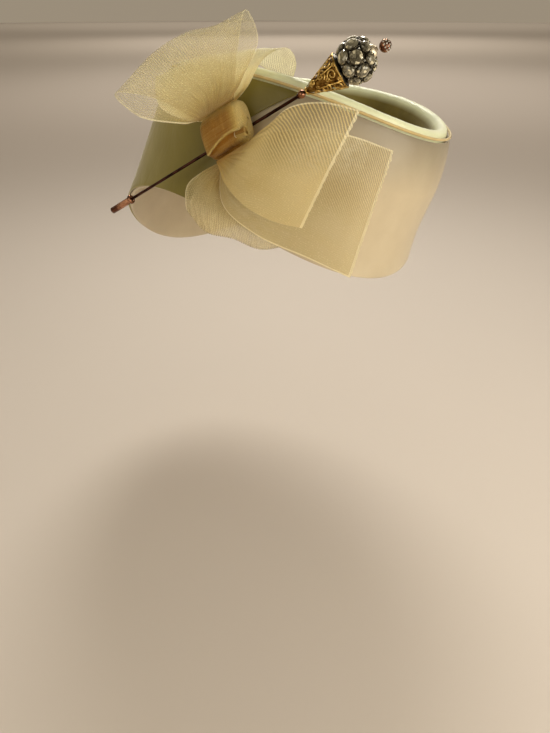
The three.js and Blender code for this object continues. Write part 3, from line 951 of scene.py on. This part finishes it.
def makeKnot():
    half = knotLook["halfWidth"]

    def spot(u, v):
        across = sin(pi * (u - 0.5))
        turn = tau * v
        cosine = copysign(abs(cos(turn)) ** bandWrap["squareness"], cos(turn))
        sine = copysign(abs(sin(turn)) ** bandWrap["squareness"], sin(turn))
        return across, turn, cosine, sine

    def place(u, v):
        across, turn, cosine, sine = spot(u, v)
        tuck = (1 - abs(across) ** 10) ** 0.3 - 0.06 * across * across
        ribTurn = tau * bandWrap["ribs"] * (across / 2 + 0.06 * sine)
        groove = bandWrap["grooveDepth"] * sin(ribTurn)
        groove += 0.35 * rumple(across * 7, cos(turn) * 0.8, sin(turn) * 0.8)
        if cosine > 0:
            below = bandEdge(across, sine)
            front = min(1, cosine * 4)
            groove += front * bandWrap["roll"] * peak(below, -0.07, 0.06)
            groove -= front * bandWrap["step"] / (1 + exp(-(below - 0.02) / 0.02))
        outward = (knotLook["halfDepth"] + groove) * cosine * tuck
        down = (knotLook["halfLength"] + min(groove, 0.4)) * sine * tuck
        return byKnot(across * half - bandWrap["slant"] * sine * tuck, outward, down)

    def crowdingAndPaintedLight(u, v):
        across, turn, cosine, sine = spot(u, v)
        below = bandEdge(across, sine)
        # painted highlight: paler along the wrapped end's edge, at both sides and over the top, and painted
        # shade just below that edge
        bright = peak(below, -0.06, 0.05) + 1.2 * peak(across, 0.88, 0.30)
        bright += 0.25 * peak(across, -1, 0.3) + 0.7 * peak(sine, -1, 0.22)
        dark = 0.9 * peak(below, 0.12, 0.12)
        return 3.8 - 2.5 * min(bright, 1.2) + dark

    flat = (bandWrap["width"], bandWrap["length"])
    bm = makeCloth(bandWrap, place, flat, ringed=True, crowdingAndPaintedLight=crowdingAndPaintedLight)
    piece = finishPiece("bowKnot", bm, "hat", knotNet, ("bow_knot",))
    thicken(piece, bandWrap["thickness"])


knotCurl = {
    "columns": 24,
    "rows": 36,
    "from": (5.4, 6.2, 4.8),
    "to": (12.4, 7.9, 6.0),
    "radii": (1.0, 2.3),
    "turns": 1.1,
    "thickness": 0.0004,
}


def makeKnotCurl():
    # the wrapped end's corner rolls over on itself
    start = byKnot(*knotCurl["from"])
    end = byKnot(*knotCurl["to"])
    run = (end - start).normalized()
    over = run.cross(outFromHat).normalized()
    up = over.cross(run).normalized()

    def place(u, v):
        small, large = knotCurl["radii"]
        radius = (small + (large - small) * u) * (0.72 + 0.28 * v)
        turn = tau * knotCurl["turns"] * (v + 0.1)
        return start.lerp(end, u) + radius * (cos(turn) * over + 0.75 * sin(turn) * up)

    def crowdingAndPaintedLight(u, v):
        # painted shade on the curl's inner turns, and paler at its wide end
        return 2.6 - 1.0 * (u > 0.88) + 1.2 * (v < 0.3)

    bm = makeCloth(knotCurl, place, (10.5, 10), crowdingAndPaintedLight=crowdingAndPaintedLight)
    piece = finishPiece("bowKnotCurl", bm, "hat", knotNet)
    thicken(piece, knotCurl["thickness"])


loopRibs = {
    "slope": 0.0,
    "period": 1.05,
    "strength": 0.7,
    "thinner": 0.0,
    "gaps": 0.0,
    "pale": (),
    "across": (-2, -1),
    "fadeIn": (25, 42),
    "fadeOut": (75, 56),
}
edgeRibs = dict(loopRibs, period=1.1, strength=0.6, fadeIn=(25, 40), fadeOut=(90, 80))
# in the tails' ribs, the gaps get painted shade and the pale patches a painted highlight
tailRibs = {
    "slope": -1.1,
    "period": 1.3,
    "strength": 0.85,
    "thinner": 0.50,
    "gaps": 0.8,
    "pale": ({"at": (21, 50), "reach": 22, "strength": 0.55},),
    "across": (40, 10),
    "fadeIn": (14, 34),
    "fadeOut": (300, 200),
}
underRibs = {
    "slope": -1.0,
    "period": 1.2,
    "strength": 0.8,
    "thinner": 0.3,
    "gaps": 0.5,
    "pale": (
        {"at": (7, 62), "reach": 20, "strength": 0.85},
        {"at": (54, 28), "reach": 34, "strength": 0.42},
    ),
    "across": (52, 14),
    "fadeIn": (40, 70),
    "fadeOut": (300, 200),
}

# a loop that comes back to the knot shows no cut end
noEnd = 1000
# painted light: each tint makes a lighter or darker copy of the one net to suit how that piece is lit, and
# the back loop's tint, brighter than white, paints it aglow with light from behind
upperNet = net("upperLoopNet", upperLoop["width"], noEnd, 0.25, (1.02, 1.04, 1.04), loopRibs)
backNet = net("backLoopNet", backLoop["width"], backLoop["length"], 0.66, (1.5, 1.6, 1.85), edgeRibs)
lowerNet = net("lowerLoopNet", lowerLoop["width"], noEnd, 0.36, (1.12, 1.10, 1.06), loopRibs)
frontCut = (tailFront["width"], tailFront["length"])
frontTailNet = net("frontTailNet", *frontCut, 0.72, (1.10, 1.05, 0.90), tailRibs, lowEdge=False)
underCut = (tailUnder["width"], tailUnder["length"])
underTailNet = net("underTailNet", *underCut, 0.60, (0.93, 0.90, 0.82), underRibs)
knotNet = net("knotNet", noEnd, noEnd, 0.70, (1.06, 0.97, 0.66), wrapped=True)

makeLoop("bowUpperLoop", "bow_upper_loop", upperLoop, upperNet)
makeLoop("bowBackLoop", "bow_back_loop", backLoop, backNet)
makeLoop("bowLowerLoop", "bow_lower_loop", lowerLoop, lowerNet)
makeTail("bowTailUnder", "bow_tail_under", tailUnder, underTailNet)
makeTail("bowTailFront", "bow_tail_front", tailFront, frontTailNet)
makeKnot()
makeKnotCurl()
print("bow is made")

# the hatpin, made upright and then laid on its line


def turnTo(heading, upright=(0, 0, 1)):
    return Vector(upright).rotation_difference(heading).to_matrix().to_4x4()


pinTurn = turnTo(pinRun)
pinPlace = Matrix.Scale(mm, 4) @ Matrix.Translation(pinPoint) @ pinTurn

pinShape = {
    "shaftRadius": 0.8,
    "tip": -81,
    "ball": 45.4,
    "ballRadius": 2.0,
    "coneStart": 47.6,
    "coneEnd": 66.8,
    "coneFoot": 1.2,
    "coneRadius": 8.3,
    "domeCentre": 74.8,
    "domeRadius": 7.8,
}
# the frame's solids count their turns from another side of the pin
cadTurn = turnTo(pinRun, (0, 1, 0))


def lathe(bm, profile, steps):
    verts = [bm.verts.new((radius, 0, height)) for radius, height in profile]
    edges = [bm.edges.new(pair) for pair in zip(verts, verts[1:])]
    bmesh.ops.spin(bm, geom=verts + edges, axis=(0, 0, 1), angle=tau, steps=steps, use_merge=True)
    bmesh.ops.remove_doubles(bm, verts=bm.verts, dist=1e-4)


def finishMetal(name, bm, material, replaced=(), faceted=False):
    body = "keeper" if name == "pinKeeper" else "pin"
    piece = finishPiece(name, bm, body, material, replaced)
    if faceted:
        piece.data.shade_flat()


def layOnPin(name, bm, material, replaced=(), faceted=False):
    bmesh.ops.recalc_face_normals(bm, faces=bm.faces)
    bmesh.ops.transform(bm, matrix=pinPlace, verts=bm.verts)
    finishMetal(name, bm, material, replaced, faceted)


def addBall(name, centre, radius, replaced=()):
    bm = bmesh.new()
    bmesh.ops.create_uvsphere(bm, u_segments=24, v_segments=16, radius=radius)
    bmesh.ops.translate(bm, verts=bm.verts, vec=centre)
    layOnPin(name, bm, copperMetal, replaced)


def evenly(start, end, steps):
    return [start + (end - start) * i / steps for i in range(steps + 1)]


def turnsOf(count, shift=0):
    return [tau * (index + shift) / count for index in range(count)]


def onDome(height):
    return (sqrt(pinShape["domeRadius"] ** 2 - (height - pinShape["domeCentre"]) ** 2), height)


def makeShaft():
    r = pinShape["shaftRadius"]
    tip = pinShape["tip"]
    bm = bmesh.new()
    profile = [(0, tip), (0.35, tip + 2), (r, tip + 7), (r, 20), (r, 43)]
    lathe(bm, profile + [(1.3, 43.2), (1.3, 43.8), (0, 43.8)], 20)
    layOnPin("pinShaft", bm, shaftMetal, ("hatpin",))
    addBall("pinBall", (0, 0, pinShape["ball"]), pinShape["ballRadius"])


filigree = {
    "innerScale": 0.84,
    "ribs": 6,
    # where each row stands along the cone, how many scrolls it has and their size
    "rows": ((0.28, 4, 1.6), (0.54, 5, 2.5), (0.82, 7, 2.7)),
    "wire": 0.42,
    "turns": 1.35,
    # a smaller, finer scroll beside each one
    "lesser": (0.42, 0.85),
}


def coneRadius(height):
    run = (height - pinShape["coneStart"]) / (pinShape["coneEnd"] - pinShape["coneStart"])
    return pinShape["coneFoot"] + (pinShape["coneRadius"] - pinShape["coneFoot"]) * run


def flatFacing(spot):
    return Vector((0, 0, 1))


def addTube(bm, matrix, path, wire, steps, sides, facing=flatFacing):
    # a round wire swept along a path that runs from 0 to 1
    made = bmesh.ops.create_grid(bm, x_segments=steps, y_segments=sides, size=0.5)
    for vert in made["verts"]:
        along = vert.co.x + 0.5
        turn = tau * (vert.co.y + 0.5)
        spot = path(along)
        up = facing(spot)
        ahead = (path(along + 0.005) - path(along - 0.005)).normalized()
        spot = spot + wire * (cos(turn) * up.cross(ahead).normalized() + sin(turn) * up)
        vert.co = matrix @ spot


def addRing(bm, matrix, radius, wire, steps, sides):
    def path(along):
        return Vector((radius * cos(tau * along), radius * sin(tau * along), 0))

    addTube(bm, matrix, path, wire, steps, sides)


def onCone(height, turn):
    radius = coneRadius(height)
    return Vector((radius * cos(turn), radius * sin(turn), height))


def coneFacing(spot):
    return Vector((spot.x, spot.y, -0.35 * hypot(spot.x, spot.y))).normalized()


def addScroll(bm, height, turn, size, wire, first, handed):
    # a spiral that lies on the cone
    def path(along):
        reach = size * (0.24 + 0.76 * along)
        angle = first + handed * tau * filigree["turns"] * along
        there = height + reach * cos(angle)
        return onCone(there, turn + reach * sin(angle) / coneRadius(height))

    addTube(bm, Matrix(), path, wire, 22, 6, coneFacing)


def makeCone():
    bm = bmesh.new()
    scale = filigree["innerScale"]
    start = pinShape["coneStart"]
    end = pinShape["coneEnd"]
    wall = [(coneRadius(h) * scale, h) for h in evenly(start, end, 12)]
    lathe(bm, [(0, start + 0.4)] + wall + [(0, end)], 32)
    layOnPin("pinConeLining", bm, liningMetal)

    bm = bmesh.new()
    wire = filigree["wire"]
    less, finer = filigree["lesser"]
    for row, (share, count, size) in enumerate(filigree["rows"]):
        height = start + (end - start) * share
        for index, turn in enumerate(turnsOf(count, 0.5 * (row % 2))):
            handed = 1 if (index + row) % 2 else -1
            addScroll(bm, height, turn, size, wire, 2.1 * index + row, handed)
            between = turn + pi / count
            addScroll(bm, height + size, between, size * less, wire * finer, index, -handed)
    for height, wire in ((start + 0.7, 0.5), (end - 0.1, 0.34)):
        addRing(bm, Matrix.Translation((0, 0, height)), coneRadius(height), wire, 48, 8)
    bmesh.ops.remove_doubles(bm, verts=bm.verts, dist=1e-3)
    for turn in turnsOf(filigree["ribs"]):
        foot = onCone(start, turn)
        top = onCone(end, turn)
        run = top - foot
        stand = Matrix.Translation((foot + top) / 2) @ turnTo(run)
        size = {"radius1": 0.2, "radius2": 0.4, "depth": run.length}
        bmesh.ops.create_cone(bm, cap_ends=True, segments=6, matrix=stand, **size)
    layOnPin("pinFiligree", bm, giltMetal)


stoneRings = (
    {"count": 8, "latitude": -24, "turn": 32.5, "width": 6.2},
    {"count": 8, "latitude": 12, "turn": 10, "width": 6.2},
    {"count": 6, "latitude": 50, "turn": 5, "width": 5.2},
)
# small stones in the gaps: how many, their latitude and their first turn
gapStones = ((8, 0, 32.5), (8, -12, 10), (8, -42, 10), (8, 31, 32.5), (6, 64, 35))
stoneLook = {
    "seat": 8.1,
    "girdle": 1.1,
    "girdleShare": 0.985,
    "table": 2.2,
    "tableShare": 0.56,
    "claws": 4,
    "clawSize": 0.36,
    "gapSeat": 8.5,
    "gapSize": 0.62,
}


def outwardAt(latitude, longitude):
    up = radians(latitude)
    turn = radians(longitude)
    return Vector((cos(up) * cos(turn), sin(up), cos(up) * sin(turn)))


def stonePlaces():
    for ring in stoneRings:
        for index in range(ring["count"]):
            yield ring["width"] / 2, outwardAt(ring["latitude"], ring["turn"] + 360 * index / ring["count"])


def stoneFrame(outward, reach):
    # where a stone stands, its z pointing away from the dome's centre
    spot = cadTurn @ (Vector((0, pinShape["domeCentre"], 0)) + outward * reach)
    stand = turnTo((cadTurn @ outward).normalized())
    return Matrix.Scale(mm, 4) @ Matrix.Translation(pinPoint + spot) @ stand


def makeStones():
    for number, (radius, outward) in enumerate(stonePlaces(), 1):
        bm = bmesh.new()
        table = stoneLook["tableShare"] * radius
        girdle = stoneLook["girdle"]
        widest = stoneLook["girdleShare"] * radius
        shoulder = (girdle + stoneLook["table"]) / 2 + 0.1
        levels = (
            (12, radius * 0.70, 0.2, 0),
            (12, widest, girdle - 0.15, 0),
            (12, widest, girdle + 0.05, 0),
            (12, (widest + table) / 2 + 0.12, shoulder, 15),
            (6, table, stoneLook["table"], 0),
        )
        for segments, size, height, turn in levels:
            place = Matrix.Translation((0, 0, height)) @ Matrix.Rotation(radians(turn), 4, "Z")
            bmesh.ops.create_circle(bm, segments=segments, radius=size, matrix=place)
        bmesh.ops.convex_hull(bm, input=bm.verts)
        bmesh.ops.dissolve_limit(bm, angle_limit=0.02, verts=bm.verts, edges=bm.edges)
        bmesh.ops.transform(bm, matrix=stoneFrame(outward, stoneLook["seat"]), verts=bm.verts)
        node = f"stone_{number:02d}"
        finishMetal(f"stone{number:02d}", bm, smokyStone, (node,), True)


def makeDome():
    bm = bmesh.new()
    foot = [(0, 66.9), (7.9, 66.9), (7.9, 67.2), (5.5, 67.8), (4.9, 68.6)]
    lathe(bm, foot + [onDome(h) for h in evenly(69.2, 81.8, 20)] + [(0, 82.0)], 48)
    layOnPin("pinDome", bm, settingMetal)

    bm = bmesh.new()
    for radius, outward in stonePlaces():
        stand = stoneFrame(outward, stoneLook["seat"])
        addRing(bm, stand @ Matrix.Translation((0, 0, 0.6)), radius + 0.12, 0.26, 20, 6)
        for turn in turnsOf(stoneLook["claws"], 0.5):
            spot = stand @ Matrix.Translation((radius * cos(turn), radius * sin(turn), 1.3))
            bmesh.ops.create_icosphere(bm, subdivisions=1, radius=stoneLook["clawSize"], matrix=spot)
    bmesh.ops.remove_doubles(bm, verts=bm.verts, dist=1e-6)
    bmesh.ops.recalc_face_normals(bm, faces=bm.faces)
    finishMetal("pinSettings", bm, settingMetal)

    bm = bmesh.new()
    for count, latitude, turn in gapStones:
        for index in range(count):
            spot = stoneFrame(outwardAt(latitude, turn + 360 * index / count), stoneLook["gapSeat"])
            bmesh.ops.create_icosphere(bm, subdivisions=1, radius=stoneLook["gapSize"], matrix=spot)
    finishMetal("pinPaveStones", bm, whiteStone, faceted=True)


# the end bead hangs a little to one side of the pin's line
finial = {"centre": 89.2, "radius": 3.1, "aside": (1.0, 0, 0.7), "stoneRows": (0, 25, 50)}


def makeEndCap():
    bm = bmesh.new()
    shoulder = ((0, 82.0), (2.9, 82.1), (3.2, 82.8), (2.9, 83.9), (2.1, 84.7))
    lathe(bm, shoulder + ((1.1, 85.1), (1.0, 85.7), (0, 85.7)), 28)
    layOnPin("pinEndCap", bm, capMetal)

    aside = cadTurn @ Vector(finial["aside"])
    centre = Vector((0, 0, finial["centre"])) + pinTurn.inverted() @ aside
    addBall("pinFinial", centre, finial["radius"] - 0.25, ("pin_finial",))

    bm = bmesh.new()
    for row, latitude in enumerate(finial["stoneRows"]):
        level = cos(radians(latitude))
        for turn in turnsOf(round(13 * level), 0.5 * (row % 2)):
            heading = Vector((level * cos(turn), level * sin(turn), sin(radians(latitude))))
            spot = Matrix.Translation(centre + heading * (finial["radius"] - 0.35))
            bmesh.ops.create_icosphere(bm, subdivisions=1, radius=0.5, matrix=spot)
    layOnPin("pinFinialStones", bm, whiteStone, faceted=True)


keeper = {"from": -83.5, "to": -67.6, "radius": 1.9, "collar": 2.5, "grooves": 8, "grooveDepth": 0.14}


def makeKeeper():
    start = keeper["from"]
    end = keeper["to"]
    r = keeper["radius"]
    collar = keeper["collar"]
    bm = bmesh.new()
    barrel = r - 0.1
    neck = r - 0.35
    profile = [(0, start), (r - 0.5, start), (barrel, start + 0.4), (barrel, start + 3.6)]
    profile += [(barrel, end - 5.4), (barrel, end - 2.4), (neck, end - 2.2), (neck, end - 1.8)]
    profile += [(collar - 0.1, end - 1.7), (collar, end - 1.4), (collar, end - 0.5), (collar - 0.3, end)]
    profile += [(1.2, end), (1.2, start + 1.5), (0, start + 1.5)]
    lathe(bm, profile, 48)
    for vert in bm.verts:
        # long grooves down the barrel
        reach = hypot(vert.co.x, vert.co.y)
        if r - 0.2 < reach < r and start + 1 < vert.co.z < end - 2.3:
            turn = atan2(vert.co.y, vert.co.x)
            shrunk = 1 - keeper["grooveDepth"] * (0.5 + 0.5 * cos(keeper["grooves"] * turn))
            vert.co.x *= shrunk
            vert.co.y *= shrunk
    layOnPin("pinKeeper", bm, copperMetal, ("pin_keeper",))


makeShaft()
makeCone()
makeDome()
makeStones()
makeEndCap()
makeKeeper()
print("hatpin is made")
